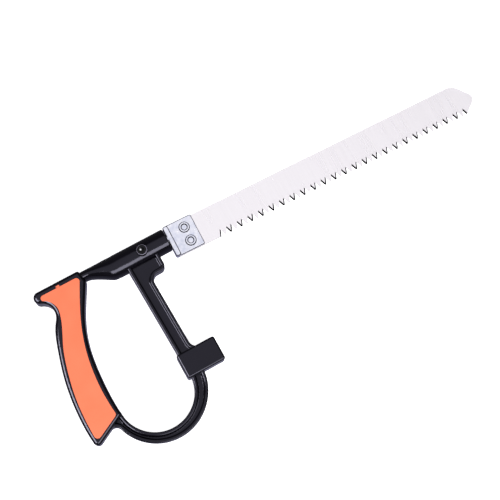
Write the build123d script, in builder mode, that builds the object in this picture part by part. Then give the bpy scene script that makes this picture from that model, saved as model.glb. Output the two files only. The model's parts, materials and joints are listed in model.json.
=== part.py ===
"""Pistol-grip saw: a cast D-handle whose barrel clamps the shank of a straight wood blade.

Millimetres.  The saw lies on one side: X runs along the barrel to the blade's tip, Y runs from the
teeth to the blade's back, Z is the thickness.  Outlines are drawn from the centre of the barrel's mouth.
"""

import math
import os

from build123d import *

# Where the barrel's mouth lies, from the centre of the underside of the whole saw.
mouth_x = -78.6
mouth_y = 66.7
half_thickness = 9.8

# Barrel and neck
barrel_radius = 9.8
barrel_back = -46.0
mouth_round = 1.2
bore_radius = 4.5
bore_depth = 49.0

# Oval sections of the neck: place along X, centre in Y, half height and half depth
neck_sections = (
    (-76.2, 5.1, 4.5, 8.2),
    (-71.5, 5.1, 4.5, 8.4),
    (-66.0, 4.3, 5.3, 8.8),
    (-61.4, 3.1, 6.5, 9.2),
    (-57.0, 1.8, 7.9, 9.5),
    (-53.7, 0.8, 9.0, 9.7),
    (-50.0, 0.1, 9.6, 9.79),
    (barrel_back, 0.0, 9.79, barrel_radius),
)

# Grip slab and its coloured inlays
grip_round = 3.0
inlay_top = 5.4
inlay_depth = 2.0
tab_width = 3.0
tab_reach = 1.7
tab_x = -94.3
tab_thickness = 1.6

# Guard, loop and lug
bow_half_thickness = 6.5
web_half_thickness = 2.6
rim_thickness = 3.0
rim_round = 1.0
web_fillet = 1.0
loop_outer_radius = 40.4
loop_inner_radius = 30.6
lug_length = 33.4
lug_height = 20.6
lug_round = 1.8
lug_x = -22.3
lug_y = -97.2
lug_bore_radius = 4.2

# Clamp screw, an M5 socket-cap screw with a spring washer, seated in a spot face
screw_x = -22.6
spot_face_radius = 4.6
spot_face_z = 7.4
washer_thickness = 1.1
washer_outer_radius = 4.2
washer_edge = 0.2
screw_radius = 2.5
screw_point = 0.7
thread_clearance = 0.05
head_radius = 4.25
head_height = 5.0
head_edge = 0.5
hex_across_flats = 4.0
hex_depth = 2.5

# Blade unit: shank, crosshead, cheeks, blade and rivets, hung a little below the barrel's axis
droop = 1.6
shank_radius = 4.45
shank_length = 46.0
flat_z = 3.25
crosshead_start = 0.4
crosshead_width = 4.6
crosshead_half_thickness = 4.3
crosshead_top = 10.1
crosshead_bottom = -16.6
crosshead_corner = 1.6
crosshead_edge = 1.0
blade_thickness = 1.0
cheek_thickness = 1.5
cheek_top = 10.6
cheek_bottom = -16.8
cheek_end = 26.2
cheek_corner = 1.5
cheek_edge = 0.8
seat_start = 3.2
rivet_x = 16.9
rivet_y = -3.2
rivet_spacing = 12.0
rivet_radius = 2.5
rivet_head_radius = 4.6
rivet_head_height = 1.0
rivet_cup_radius = 2.9
rivet_cup_slope = 0.8
rivet_cup_depth = 0.8
rivet_edge = 0.7

# Teeth
blade_back = 9.9
tooth_tips = -17.5
tooth_depth = 6.0
tooth_pitch = 4.866
gullet_count = 48
first_gullet = 42.5
gullet_angle = 43.0
fleam_angle = 50.0

saw = Plane(origin=(mouth_x, mouth_y, half_thickness))
along = Plane(origin=saw.origin, x_dir=(0, 1, 0), z_dir=(1, 0, 0))
hang = math.radians(droop)
blade_plane = Plane(
    origin=saw.origin,
    x_dir=(math.cos(hang), -math.sin(hang), 0),
    z_dir=(0, 0, 1),
)
os.makedirs("parts", exist_ok=True)


def corner(x, y):
    """The corner of the outline being drawn that lies closest to a point."""
    return vertices().sort_by_distance((x, y, 0))[0]


# ---- Grip slab: horn at the back, waist for the thumb, swelling heel -------------------------
with BuildSketch(saw) as grip_edge:
    with BuildLine():
        Line((-74.6, 10.2), (-111.6, 10.2))
        ThreePointArc((-111.6, 10.2), (-115.7, 6.1), (-113.4, 1.2))
        ThreePointArc((-113.4, 1.2), (-107.5, -3.2), (-105.6, -9.6))
        Spline(
            (-105.6, -9.6),
            (-109.5, -19.1),
            (-117.6, -38.8),
            (-122.9, -58.3),
            (-126.1, -77.7),
            (-127.3, -99.0),
            (-126.6, -114.0),
            tangents=((0, -1), (0.09, -1)),
        )
        Line((-126.6, -114.0), (-126.0, -121.0))
        Line((-126.0, -121.0), (-97.2, -106.3))
        Spline(
            (-97.2, -106.3),
            (-98.1, -88.0),
            (-97.3, -68.6),
            (-94.8, -49.0),
            (-88.8, -29.6),
            (-78.4, -9.8),
            (-72.6, 0.2),
            tangents=((-0.1, 1), (0.5, 0.87)),
        )
        Line((-72.6, 0.2), (-74.6, 10.2))
    make_face()

with BuildSketch(saw) as grip_outline:
    add(grip_edge.sketch_local)
    fillet(corner(-126.0, -121.0), 3.6)
    fillet(corner(-97.2, -106.3), 1.8)
    fillet(corner(-74.6, 10.2), 2.0)
    fillet(corner(-72.6, 0.2), 1.5)

with BuildSketch(saw) as inlay_outline:
    with BuildLine():
        Line((-75.4, inlay_top), (-108.2, inlay_top))
        ThreePointArc((-108.2, inlay_top), (-110.5, 3.5), (-109.8, 1.4))
        ThreePointArc((-109.8, 1.4), (-104.3, -3.4), (-102.1, -10.4))
        Spline(
            (-102.1, -10.4),
            (-104.3, -19.6),
            (-112.4, -38.3),
            (-118.4, -58.0),
            (-122.1, -77.0),
            (-123.6, -96.0),
            (-123.4, -116.0),
        )
        Line((-123.4, -116.0), (-100.9, -104.8))
        Spline(
            (-100.9, -104.8),
            (-102.1, -86.0),
            (-101.4, -69.6),
            (-98.6, -51.0),
            (-93.3, -32.7),
            (-87.8, -19.4),
            (-75.4, inlay_top),
            tangents=((-0.1, 1), (0.46, 0.89)),
        )
    make_face()
    fillet(corner(-123.4, -116.0), 3.0)
    fillet(corner(-100.9, -104.8), 2.6)
    fillet(corner(-75.4, inlay_top), 2.6)

with BuildSketch(saw) as tab_outline:
    with Locations((tab_x, inlay_top)):
        Rectangle(tab_width, 2 * tab_reach)

with BuildPart() as grip_slab:
    add(grip_outline.sketch)
    extrude(amount=half_thickness, both=True)
    fillet(faces().filter_by(Axis.Z).edges(), grip_round)
    for side in (1, -1):
        with BuildSketch(saw.offset(side * (half_thickness - inlay_depth))):
            add(inlay_outline.sketch_local)
            add(tab_outline.sketch_local)
        extrude(amount=side * inlay_depth, mode=Mode.SUBTRACT)


# ---- Bow: guard with its flared head, finger loop and the webs that join them -----------------
with BuildSketch(saw) as bow_outline:
    with Locations((-65.0, -103.4)):
        Circle(loop_outer_radius)
    with Locations((-66.6, -104.0)):
        Circle(loop_inner_radius, mode=Mode.SUBTRACT)
    with Locations((-65.0, -79.0)):
        Rectangle(100.0, 50.0, mode=Mode.SUBTRACT)
    with BuildLine():
        Polyline(
            (-39.8, -1.0),
            (-36.9, -104.0),
            (-23.9, -104.0),
            (-25.9, -21.1),
            (-11.7, -21.1),
            (-11.7, -1.0),
            (-39.8, -1.0),
        )
    make_face()
    with BuildLine():
        Polyline((-8.0, -87.9), (-30.0, -87.9), (-30.0, -106.0), (-8.0, -106.0), (-8.0, -87.9))
    make_face()
    with BuildLine():
        Polyline((-114.0, -114.9), (-98.0, -106.7), (-98.0, -104.0), (-114.0, -104.0), (-114.0, -114.9))
    make_face()
    fillet(corner(-25.9, -21.1), 6.0)
    fillet(corner(-11.7, -21.1), 4.6)
    fillet(corner(-24.3, -87.9), 6.5)
    fillet(corner(-104.8, -110.2), 5.0)

with BuildSketch(saw) as channel_outline:
    add(bow_outline.sketch_local)
    offset(amount=-rim_thickness, kind=Kind.ARC, mode=Mode.REPLACE)

with BuildPart() as bow:
    add(bow_outline.sketch)
    extrude(amount=bow_half_thickness, both=True)
    for side in (1, -1):
        with BuildSketch(saw.offset(side * bow_half_thickness)):
            add(channel_outline.sketch_local)
        extrude(amount=side * (web_half_thickness - bow_half_thickness), mode=Mode.SUBTRACT)
    for level in (half_thickness - web_half_thickness, half_thickness + web_half_thickness):
        floor = faces().filter_by_position(Axis.Z, level - 0.01, level + 0.01)
        fillet(floor.edges(), web_fillet)
    for level in (half_thickness - bow_half_thickness, half_thickness + bow_half_thickness):
        crest = faces().filter_by_position(Axis.Z, level - 0.01, level + 0.01)
        fillet(crest.edges(), rim_round)

# ---- Lug: the block at the foot of the guard ---------------------------------------------------
with BuildPart() as lug:
    with BuildSketch(saw):
        with Locations((lug_x, lug_y)):
            Rectangle(lug_length, lug_height)
    extrude(amount=half_thickness, both=True)
    fillet(edges(), lug_round)

# ---- Neck and barrel: an oval that swells into a round ------------------------------------------
with BuildPart() as barrel:
    for place, centre, half_height, half_depth in neck_sections:
        with BuildSketch(along.offset(place)):
            with Locations((centre, 0.0)):
                Ellipse(half_height, half_depth)
    loft()
    extrude(faces().sort_by(Axis.X)[-1], amount=-barrel_back)
    fillet(faces().sort_by(Axis.X)[-1].edges(), mouth_round)

# ---- The casting: every blank joined, then bored ------------------------------------------------
with BuildPart() as handle_frame:
    add(barrel.part)
    add(grip_slab.part)
    add(bow.part)
    add(lug.part)
    with BuildSketch(along.offset(-bore_depth)):
        Circle(bore_radius)
    extrude(amount=bore_depth, mode=Mode.SUBTRACT)
    with BuildSketch(saw.offset(spot_face_z)):
        with Locations((screw_x, 0.0)):
            Circle(spot_face_radius)
    extrude(amount=half_thickness, mode=Mode.SUBTRACT)
    with BuildSketch(saw):
        with Locations((screw_x, 0.0)):
            Circle(screw_radius + thread_clearance)
    extrude(amount=half_thickness, mode=Mode.SUBTRACT)
    with BuildSketch(along.offset(lug_x - lug_length / 2)):
        with Locations((lug_y, 0.0)):
            Circle(lug_bore_radius)
    extrude(amount=lug_length, mode=Mode.SUBTRACT)
handle_frame.part.label = "handle_frame"
export_step(handle_frame.part, "parts/handle_frame.step")

# ---- Grip inlays --------------------------------------------------------------------------------
for name, side in (("grip_inlay_front", 1), ("grip_inlay_back", -1)):
    with BuildPart() as inlay:
        with BuildSketch(saw.offset(side * (half_thickness - inlay_depth))):
            add(inlay_outline.sketch_local)
        extrude(amount=side * inlay_depth)
        with BuildSketch(saw.offset(side * (half_thickness - inlay_depth))):
            add(tab_outline.sketch_local)
        extrude(amount=side * tab_thickness)
    inlay.part.label = name
    export_step(inlay.part, "parts/" + name + ".step")

# ---- Clamp screw and its spring washer ----------------------------------------------------------
washer_top = spot_face_z + washer_thickness
with BuildPart() as screw_washer:
    with BuildSketch(saw.offset(spot_face_z)):
        with Locations((screw_x, 0.0)):
            Circle(washer_outer_radius)
            Circle(screw_radius + thread_clearance, mode=Mode.SUBTRACT)
    extrude(amount=washer_thickness)
    chamfer(edges().filter_by(GeomType.CIRCLE).group_by(SortBy.RADIUS)[-1], washer_edge)
screw_washer.part.label = "screw_washer"
export_step(screw_washer.part, "parts/screw_washer.step")

with BuildPart() as clamp_screw:
    with BuildSketch(saw.offset(flat_z)):
        with Locations((screw_x, 0.0)):
            Circle(screw_radius)
    extrude(amount=washer_top - flat_z)
    chamfer(edges().group_by(Axis.Z)[0], screw_point)
    with BuildSketch(saw.offset(washer_top)):
        with Locations((screw_x, 0.0)):
            Circle(head_radius)
    extrude(amount=head_height)
    fillet(edges().group_by(Axis.Z)[-1], head_edge)
    with BuildSketch(saw.offset(washer_top + head_height)):
        with Locations((screw_x, 0.0)):
            RegularPolygon(hex_across_flats / math.sqrt(3), 6)
    extrude(amount=-hex_depth, mode=Mode.SUBTRACT)
clamp_screw.part.label = "clamp_screw"
export_step(clamp_screw.part, "parts/clamp_screw.step")

# ---- Blade unit ---------------------------------------------------------------------------------
sandwich = blade_thickness / 2 + cheek_thickness
with BuildPart() as crosshead:
    with BuildSketch(blade_plane):
        with Locations(
            (crosshead_start + crosshead_width / 2, (crosshead_top + crosshead_bottom) / 2)
        ):
            RectangleRounded(crosshead_width, crosshead_top - crosshead_bottom, crosshead_corner)
    extrude(amount=crosshead_half_thickness, both=True)
    fillet(faces().filter_by(Axis.Z).edges(), crosshead_edge)

with BuildPart() as blade_shank:
    with BuildSketch(along.offset(-shank_length)):
        Circle(shank_radius)
    extrude(amount=shank_length + crosshead_start + 1.0)
    chamfer(edges().group_by(Axis.X)[0], 0.8)
    with BuildSketch(saw.offset(flat_z)):
        with Locations((-shank_length / 2 - 2.0, 0.0)):
            Rectangle(shank_length, 2 * shank_radius)
    extrude(amount=shank_radius, mode=Mode.SUBTRACT)
    add(crosshead.part)
    with BuildSketch(blade_plane):
        with Locations((seat_start + crosshead_width / 2, (cheek_top + cheek_bottom) / 2)):
            Rectangle(crosshead_width, 2 * (cheek_top - cheek_bottom))
    extrude(amount=sandwich, both=True, mode=Mode.SUBTRACT)
blade_shank.part.label = "blade_shank"
export_step(blade_shank.part, "parts/blade_shank.step")

for name, side in (("holder_cheek_front", 1), ("holder_cheek_back", -1)):
    with BuildPart() as cheek:
        with BuildSketch(blade_plane.offset(side * blade_thickness / 2)):
            with Locations(((seat_start + cheek_end) / 2, (cheek_top + cheek_bottom) / 2)):
                RectangleRounded(cheek_end - seat_start, cheek_top - cheek_bottom, cheek_corner)
            with Locations((rivet_x, rivet_y)):
                with GridLocations(0, rivet_spacing, 1, 2):
                    Circle(rivet_radius, mode=Mode.SUBTRACT)
        extrude(amount=side * cheek_thickness)
        face = faces().sort_by(Axis.Z)[-1 if side > 0 else 0]
        fillet(face.outer_wire().edges(), cheek_edge)
    cheek.part.label = name
    export_step(cheek.part, "parts/" + name + ".step")

with BuildPart() as saw_blade:
    with BuildSketch(blade_plane):
        with BuildLine():
            Line((seat_start, blade_back), (267.2, blade_back))
            ThreePointArc((267.2, blade_back), (272.3, 8.9), (276.2, 6.0))
            Line((276.2, 6.0), (283.0, -2.5))
            ThreePointArc((283.0, -2.5), (284.5, -6.2), (282.8, -9.8))
            Line((282.8, -9.8), (273.2, tooth_tips))
            Line((273.2, tooth_tips), (seat_start, tooth_tips))
            Line((seat_start, tooth_tips), (seat_start, blade_back))
        make_face()
        with Locations((rivet_x, rivet_y)):
            with GridLocations(0, rivet_spacing, 1, 2):
                Circle(rivet_radius, mode=Mode.SUBTRACT)
    extrude(amount=blade_thickness / 2, both=True)
    spread = tooth_depth * math.tan(math.radians(gullet_angle / 2))
    lean = math.tan(math.radians(fleam_angle))
    for slant in (1, -1):
        with BuildSketch(blade_plane.offset(-blade_thickness)):
            for index in range(gullet_count):
                if (index % 2 == 1) == (slant > 0):
                    centre = first_gullet + index * tooth_pitch - slant * lean * blade_thickness
                    with BuildLine():
                        Polyline(
                            (centre, tooth_tips + tooth_depth),
                            (centre + 1.2 * spread, tooth_tips - 0.2 * tooth_depth),
                            (centre - 1.2 * spread, tooth_tips - 0.2 * tooth_depth),
                            (centre, tooth_tips + tooth_depth),
                        )
                    make_face()
        direction = blade_plane.from_local_coords(Vector(slant * lean, 0, 1)) - blade_plane.origin
        extrude(amount=2.0 * blade_thickness * math.hypot(1, lean), dir=direction, mode=Mode.SUBTRACT)
saw_blade.part.label = "saw_blade"
export_step(saw_blade.part, "parts/saw_blade.step")

rivet_top = sandwich + rivet_head_height
with BuildPart() as blade_rivets:
    for offset_y in (-rivet_spacing / 2, rivet_spacing / 2):
        foot = blade_plane.from_local_coords((rivet_x, rivet_y + offset_y, 0))
        with BuildSketch(Plane(foot, x_dir=(1, 0, 0), z_dir=(0, -1, 0))):
            with BuildLine():
                Polyline(
                    (0, -rivet_top + rivet_cup_depth),
                    (rivet_cup_radius - rivet_cup_slope, -rivet_top + rivet_cup_depth),
                    (rivet_cup_radius, -rivet_top),
                    (rivet_head_radius - rivet_edge, -rivet_top),
                    (rivet_head_radius, -rivet_top + rivet_edge),
                    (rivet_head_radius, -sandwich),
                    (rivet_radius, -sandwich),
                    (rivet_radius, sandwich),
                    (rivet_head_radius, sandwich),
                    (rivet_head_radius, rivet_top - rivet_edge),
                    (rivet_head_radius - rivet_edge, rivet_top),
                    (rivet_cup_radius, rivet_top),
                    (rivet_cup_radius - rivet_cup_slope, rivet_top - rivet_cup_depth),
                    (0, rivet_top - rivet_cup_depth),
                    (0, -rivet_top + rivet_cup_depth),
                )
            make_face()
        revolve(axis=Axis(foot, (0, 0, 1)))
blade_rivets.part.label = "blade_rivets"
export_step(blade_rivets.part, "parts/blade_rivets.step")
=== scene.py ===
"""Looks for the pistol-grip saw: finishes for its CAD pieces, a pale floor, soft light and the camera."""

import json
import math

import bpy
from mathutils import Matrix, Vector


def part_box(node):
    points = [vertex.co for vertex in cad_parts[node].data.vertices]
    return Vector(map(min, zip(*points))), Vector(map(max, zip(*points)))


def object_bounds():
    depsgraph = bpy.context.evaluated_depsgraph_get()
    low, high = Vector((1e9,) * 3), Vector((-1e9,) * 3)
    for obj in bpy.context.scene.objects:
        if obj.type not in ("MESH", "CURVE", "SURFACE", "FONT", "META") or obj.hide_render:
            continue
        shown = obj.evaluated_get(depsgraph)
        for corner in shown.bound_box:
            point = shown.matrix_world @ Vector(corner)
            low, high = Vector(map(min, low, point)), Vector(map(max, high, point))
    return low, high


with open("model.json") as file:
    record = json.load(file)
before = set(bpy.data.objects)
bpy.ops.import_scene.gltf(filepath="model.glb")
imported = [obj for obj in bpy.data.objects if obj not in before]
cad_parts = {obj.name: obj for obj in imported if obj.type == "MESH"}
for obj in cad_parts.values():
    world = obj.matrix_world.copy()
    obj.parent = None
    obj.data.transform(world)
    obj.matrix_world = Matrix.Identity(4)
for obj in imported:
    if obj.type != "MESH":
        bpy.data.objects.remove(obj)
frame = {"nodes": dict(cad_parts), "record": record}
cad_low, cad_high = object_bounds()
nodes = frame["nodes"]
MM = 0.001

# ---- Sizes and tones -----------------------------------------------------------------------------
# Level metal faces scatter part of their light, so that they stay pale when seen from low down.
FLAT_METALLIC = 0.5
# Between these upward tilts |Nz|, a level metal face gives way to its rounded or bevelled edge.
EDGE_STARTS, EDGE_FULL = 0.96, 0.88
# Fine lines of the blade's grinding run across it, turned by the droop of the blade, in degrees.
BLADE_DROOP = -1.6

FLOOR_SIZE = 20.0
FLOOR_GLOW = 0.85
# Brightness of the studio against height: dim walls, then a bright ceiling.
SKY = ((0.0, 0.14), (0.3, 0.12), (0.72, 0.1), (0.86, 0.98), (1.0, 1.05))
SKY_BLUE = 1.04
# Lavender glow from below, in front and on the left, which tints the undersides of the black rims.
GLOW = (0.12, 0.115, 0.21)
GLOW_FROM = (-0.5, -0.5, -0.7)

AIM = Vector((-23.7, 27.3, 9.8)) * MM
AZIMUTH, ELEVATION, DISTANCE = math.radians(-43.8), math.radians(77.5), 0.92
BARREL_SLOPE = math.radians(28.3)
VIEW_WIDTH = 0.405
SENSOR_WIDTH = 36.0


# ---- Small helpers for node materials ------------------------------------------------------------
class Finish:
    """A procedural material, built one node at a time."""

    def __init__(self, name):
        self.material = bpy.data.materials.new(name)
        self.material.use_nodes = True
        self.tree = self.material.node_tree
        self.shader = self.tree.nodes["Principled BSDF"]
        self.place = self.node("ShaderNodeTexCoord")
        self.position = self.place.outputs["Object"]

    def node(self, kind, **settings):
        made = self.tree.nodes.new(kind)
        for key, value in settings.items():
            setattr(made, key, value)
        return made

    def link(self, source, target):
        self.tree.links.new(source, target)

    def stretch(self, scale, turn):
        """Position scaled along each axis, after a turn about Z in degrees."""
        mapping = self.node("ShaderNodeMapping", vector_type="TEXTURE")
        mapping.inputs["Rotation"].default_value = (0.0, 0.0, math.radians(turn))
        mapping.inputs["Scale"].default_value = scale
        self.link(self.position, mapping.inputs["Vector"])
        return mapping.outputs["Vector"]

    def noise(self, size, detail=2.0, roughness=0.5, vector=None):
        """Noise whose blobs are about `size` metres across, or one step of `vector` when it is given."""
        made = self.node("ShaderNodeTexNoise")
        made.inputs["Scale"].default_value = 1.0 / size
        made.inputs["Detail"].default_value = detail
        made.inputs["Roughness"].default_value = roughness
        self.link(vector or self.position, made.inputs["Vector"])
        return made.outputs["Fac"]

    def remap(self, value, low, high, out_low=0.0, out_high=1.0):
        made = self.node("ShaderNodeMapRange")
        sockets = ("From Min", "From Max", "To Min", "To Max")
        for key, number in zip(sockets, (low, high, out_low, out_high)):
            made.inputs[key].default_value = number
        self.link(value, made.inputs["Value"])
        return made.outputs["Result"]

    def blend(self, factor, first, second):
        """A colour between two others, each a tuple or another node's output."""
        made = self.node("ShaderNodeMix", data_type="RGBA")
        self.link(factor, made.inputs["Factor"])
        for socket, colour in ((made.inputs[6], first), (made.inputs[7], second)):
            if isinstance(colour, tuple):
                socket.default_value = (*colour, 1.0)
            else:
                self.link(colour, socket)
        return made.outputs[2]

    def bump(self, height, distance, strength, normal=None):
        made = self.node("ShaderNodeBump")
        made.inputs["Strength"].default_value = strength
        made.inputs["Distance"].default_value = distance
        self.link(height, made.inputs["Height"])
        if normal is not None:
            self.link(normal, made.inputs["Normal"])
        return made.outputs["Normal"]

    def slope(self, low, high):
        """0 where the surface's upward tilt |Nz| is `low`, 1 where it is `high`."""
        split = self.node("ShaderNodeSeparateXYZ")
        self.link(self.place.outputs["Normal"], split.inputs["Vector"])
        level = self.node("ShaderNodeMath", operation="ABSOLUTE")
        self.link(split.outputs["Z"], level.inputs[0])
        return self.remap(level.outputs["Value"], low, high)

    def times(self, first, second):
        made = self.node("ShaderNodeMath", operation="MULTIPLY")
        self.link(first, made.inputs[0])
        self.link(second, made.inputs[1])
        return made.outputs["Value"]

    def set(self, **values):
        """Give shader sockets a number, a colour or another node's output."""
        for key, value in values.items():
            socket = self.shader.inputs[key.replace("_", " ")]
            if isinstance(value, tuple):
                socket.default_value = (*value, 1.0)
            elif isinstance(value, (int, float)):
                socket.default_value = value
            else:
                self.link(value, socket)
        return self


def srgb(red, green, blue):
    """A display colour, 0 to 255, as linear light."""
    return tuple(
        value / 12.92 if value <= 0.04045 else ((value + 0.055) / 1.055) ** 2.4
        for value in (red / 255, green / 255, blue / 255)
    )


# ---- Finishes ------------------------------------------------------------------------------------
def black_enamel():
    made = Finish("black_enamel")
    peel = made.noise(2.2 * MM, detail=3.0)
    sand = made.noise(0.35 * MM)
    patches = made.noise(30 * MM, detail=3.0)
    normal = made.bump(peel, 0.05 * MM, 0.35)
    normal = made.bump(sand, 0.02 * MM, 0.25, normal)
    return made.set(
        Base_Color=made.blend(patches, srgb(2, 2, 3), srgb(6, 5, 9)),
        Roughness=made.remap(patches, 0.3, 0.7, 0.11, 0.17),
        Specular_IOR_Level=0.3,
        Specular_Tint=(0.82, 0.8, 1.0),
        Normal=normal,
    ).material


def orange_inlay():
    made = Finish("orange_inlay")
    cloud = made.noise(18 * MM, detail=3.0)
    grain = made.noise(0.5 * MM)
    return made.set(
        Base_Color=made.blend(made.remap(cloud, 0.3, 0.7), srgb(253, 121, 80), srgb(255, 127, 87)),
        Roughness=made.remap(cloud, 0.3, 0.7, 0.42, 0.52),
        Normal=made.bump(grain, 0.03 * MM, 0.3),
    ).material


def zinc_plate():
    """Blotchy bright plate, with painted shade along its rounded rims that stands in for a dark
    reflection.
    """
    made = Finish("zinc_plate")
    blotch = made.noise(4.5 * MM, detail=4.0, roughness=0.6)
    fine = made.noise(0.6 * MM, detail=3.0)
    plate = made.blend(made.remap(blotch, 0.35, 0.65), srgb(214, 217, 233), srgb(240, 240, 248))
    # Painted shade: the rounded rims are painted darker, standing in for the dark reflection they would
    # show.
    painted_rim_shade = made.times(made.slope(0.3, 0.7), made.slope(0.99, 0.93))
    normal = made.bump(blotch, 0.12 * MM, 0.3)
    normal = made.bump(fine, 0.02 * MM, 0.4, normal)
    return made.set(
        Base_Color=made.blend(painted_rim_shade, plate, srgb(120, 118, 130)),
        Metallic=made.remap(made.slope(EDGE_STARTS, EDGE_FULL), 0.0, 1.0, FLAT_METALLIC, 1.0),
        Roughness=made.remap(blotch, 0.3, 0.7, 0.17, 0.28),
        Normal=normal,
    ).material


def brushed_blade():
    """Bright flats with fine grinding lines across them, and painted shade on the bevels between the
    teeth, standing in for a dark reflection.
    """
    made = Finish("brushed_blade")
    lines = made.stretch((0.35 * MM, 40 * MM, 40 * MM), BLADE_DROOP)
    bands = made.stretch((6 * MM, 60 * MM, 60 * MM), BLADE_DROOP)
    streaks = made.noise(1.0, detail=4.0, roughness=0.6, vector=lines)
    broad = made.noise(1.0, vector=bands)
    flat = made.blend(streaks, srgb(240, 235, 238), srgb(254, 250, 252))
    # Painted shade: the bevels between the teeth are painted dark, standing in for a dark reflection; the
    # same mask makes them fully metallic.
    painted_shade_bevel = made.slope(EDGE_STARTS, EDGE_FULL)
    return made.set(
        Base_Color=made.blend(painted_shade_bevel, flat, srgb(46, 43, 49)),
        Metallic=made.remap(painted_shade_bevel, 0.0, 1.0, FLAT_METALLIC, 1.0),
        Roughness=made.remap(broad, 0.3, 0.7, 0.2, 0.3),
        Normal=made.bump(streaks, 0.01 * MM, 0.5),
    ).material


def black_oxide():
    """Dark oxide, with a painted pale reflection along the rounded rims and a painted highlight, a bright
    glint spot, at the foot of the socket.
    """
    made = Finish("black_oxide")
    low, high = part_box("clamp_screw")
    middle = (low + high) / 2
    # The painted highlight: a small round bright metal patch beside the screw's axis, below the top of its
    # head, standing in for a glint.
    from_painted_glint = made.node("ShaderNodeVectorMath", operation="SUBTRACT")
    from_painted_glint.inputs[1].default_value = (middle.x - 0.6 * MM, middle.y + 1.0 * MM, high.z)
    made.link(made.position, from_painted_glint.inputs[0])
    split = made.node("ShaderNodeSeparateXYZ")
    made.link(from_painted_glint.outputs["Vector"], split.inputs["Vector"])
    level = made.node("ShaderNodeCombineXYZ")
    made.link(split.outputs["X"], level.inputs["X"])
    made.link(split.outputs["Y"], level.inputs["Y"])
    radius = made.node("ShaderNodeVectorMath", operation="LENGTH")
    made.link(level.outputs["Vector"], radius.inputs[0])
    inside = made.remap(radius.outputs["Value"], 0.5 * MM, 0.95 * MM, 1.0, 0.0)
    sunk = made.remap(split.outputs["Z"], -1.0 * MM, -2.0 * MM)
    painted_glint = made.times(inside, sunk)

    fine = made.noise(0.4 * MM, detail=3.0)
    wear = made.noise(2.5 * MM, detail=4.0)
    colour = made.blend(made.remap(wear, 0.35, 0.7), srgb(9, 9, 11), srgb(20, 19, 23))
    # Painted reflection: the rounded rims of the head are painted pale, standing in for the bright studio
    # mirrored there.
    painted_rim_reflection = made.times(made.slope(0.3, 0.8), made.slope(0.97, 0.9))
    colour = made.blend(painted_rim_reflection, colour, srgb(150, 146, 165))
    return made.set(
        Base_Color=made.blend(painted_glint, colour, srgb(235, 235, 240)),
        Metallic=painted_glint,
        Roughness=made.remap(wear, 0.3, 0.7, 0.24, 0.36),
        Specular_IOR_Level=0.15,
        Normal=made.bump(fine, 0.02 * MM, 0.5),
    ).material


finishes = {
    "frame_paint": black_enamel(),
    "grip_orange": orange_inlay(),
    "zinc_plate": zinc_plate(),
    "blade_steel": brushed_blade(),
    "screw_black": black_oxide(),
}
for entry in frame["record"]["subparts"]:
    piece = nodes[entry["node"]]
    piece.data.materials.clear()
    piece.data.materials.append(finishes[entry["material_slot"]])

# ---- Floor ---------------------------------------------------------------------------------------
bpy.ops.mesh.primitive_plane_add(size=FLOOR_SIZE, location=(0, 0, cad_low.z))
floor = bpy.context.object
floor.name = "floor"
pale = Finish("pale_floor")
pale.set(
    Base_Color=(0.86, 0.86, 0.87),
    Roughness=0.9,
    Emission_Color=(1.0, 1.0, 1.0),
    Emission_Strength=FLOOR_GLOW,
)
floor.data.materials.append(pale.material)
# Left out of mirror images, where its white would outline the black walls of the handle.
floor.visible_glossy = False

# ---- Studio --------------------------------------------------------------------------------------
world = bpy.data.worlds.new("studio")
bpy.context.scene.world = world
world.use_nodes = True
sky = world.node_tree
direction = sky.nodes.new("ShaderNodeTexCoord").outputs["Generated"]


def sky_node(kind, value, **settings):
    """A node of the studio's tree, with `value` linked to its first input."""
    made = sky.nodes.new(kind)
    for key, setting in settings.items():
        setattr(made, key, setting)
    sky.links.new(value, made.inputs[0])
    return made


def sky_range(value, low, high):
    """0 where `value` is `low`, 1 where it is `high`."""
    made = sky_node("ShaderNodeMapRange", value)
    made.inputs["From Min"].default_value = low
    made.inputs["From Max"].default_value = high
    return made.outputs["Result"]


height = sky_node("ShaderNodeSeparateXYZ", direction).outputs["Z"]
ramp = sky_node("ShaderNodeValToRGB", height)
while len(ramp.color_ramp.elements) < len(SKY):
    ramp.color_ramp.elements.new(0.5)
for element, (place, level) in zip(ramp.color_ramp.elements, SKY):
    element.position = place
    element.color = (level, level, level * SKY_BLUE, 1.0)

facing = sky_node("ShaderNodeVectorMath", direction, operation="DOT_PRODUCT")
facing.inputs[1].default_value = GLOW_FROM
glow = sky_node("ShaderNodeMath", sky_range(facing.outputs["Value"], 0.15, 0.55), operation="MULTIPLY")
sky.links.new(sky_range(height, 0.05, -0.1), glow.inputs[1])
tinted = sky_node("ShaderNodeMix", glow.outputs["Value"], data_type="RGBA", blend_type="ADD")
sky.links.new(ramp.outputs["Color"], tinted.inputs[6])
tinted.inputs[7].default_value = (*GLOW, 1.0)
sky.links.new(tinted.outputs[2], sky.nodes["Background"].inputs["Color"])


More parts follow.
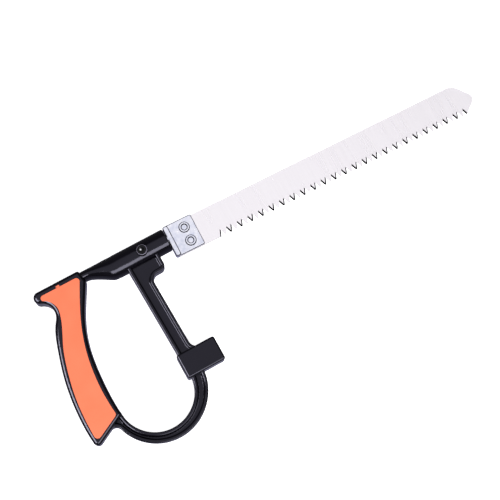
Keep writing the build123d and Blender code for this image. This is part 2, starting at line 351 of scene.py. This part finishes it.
def softbox(name, place, aim, size, power, slots, stage=()):
    """A rectangular lamp that lights only the pieces with these material slots, and some stage objects."""
    data = bpy.data.lights.new(name, "AREA")
    data.shape = "RECTANGLE"
    data.size, data.size_y = size
    data.energy = power
    lamp = bpy.data.objects.new(name, data)
    lamp.location = place
    lamp.rotation_mode = "QUATERNION"
    lamp.rotation_quaternion = (Vector(aim) - Vector(place)).to_track_quat("-Z", "Y")
    bpy.context.collection.objects.link(lamp)
    receivers = bpy.data.collections.new("lit_by_" + name)
    for entry in frame["record"]["subparts"]:
        if entry["material_slot"] in slots:
            receivers.objects.link(nodes[entry["node"]])
    for thing in stage:
        receivers.objects.link(thing)
    lamp.light_linking.receiver_collection = receivers
    return lamp


# The key and the left lamp leave out the bare metal, so that its rims mirror only the dim studio.
softbox(
    "key",
    place=(0.1, -0.98, 1.0),
    aim=(0, 0, 0),
    size=(1.3, 0.7),
    power=26.0,
    slots=("frame_paint", "grip_orange", "screw_black"),
    stage=(floor,),
)
softbox(
    "left",
    place=(-0.95, 0.0, 0.95),
    aim=(-0.1, 0, 0),
    size=(1.0, 0.7),
    power=44.0,
    slots=("frame_paint",),
)
# The fill brightens the scattered light of the metal, and has no mirror image.
fill = softbox(
    "fill",
    place=(0, 0, 1.3),
    aim=(0, 0, 0),
    size=(1.2, 1.2),
    power=8.9,
    slots=("zinc_plate", "blade_steel"),
)
fill.visible_glossy = False

# ---- Camera --------------------------------------------------------------------------------------
back = Vector(
    (
        math.sin(AZIMUTH) * math.cos(ELEVATION),
        -math.cos(AZIMUTH) * math.cos(ELEVATION),
        math.sin(ELEVATION),
    )
)
right = Vector((math.cos(AZIMUTH), math.sin(AZIMUTH), 0.0))
up = back.cross(right)
# Roll the picture until the barrel climbs to the right at its slope.
roll = math.atan2(up.x, right.x) - BARREL_SLOPE
right, up = right * math.cos(roll) + up * math.sin(roll), up * math.cos(roll) - right * math.sin(roll)
camera_data = bpy.data.cameras.new("camera")
camera_data.sensor_width = SENSOR_WIDTH
camera_data.lens = SENSOR_WIDTH * DISTANCE / VIEW_WIDTH
camera_data.clip_start, camera_data.clip_end = 0.01, 20.0
camera = bpy.data.objects.new("camera", camera_data)
place = AIM + back * DISTANCE
camera.matrix_world = Matrix(
    (
        (right.x, up.x, back.x, place.x),
        (right.y, up.y, back.y, place.y),
        (right.z, up.z, back.z, place.z),
        (0.0, 0.0, 0.0, 1.0),
    )
)
bpy.context.collection.objects.link(camera)
bpy.context.scene.camera = camera
bpy.context.scene.view_settings.view_transform = "Standard"
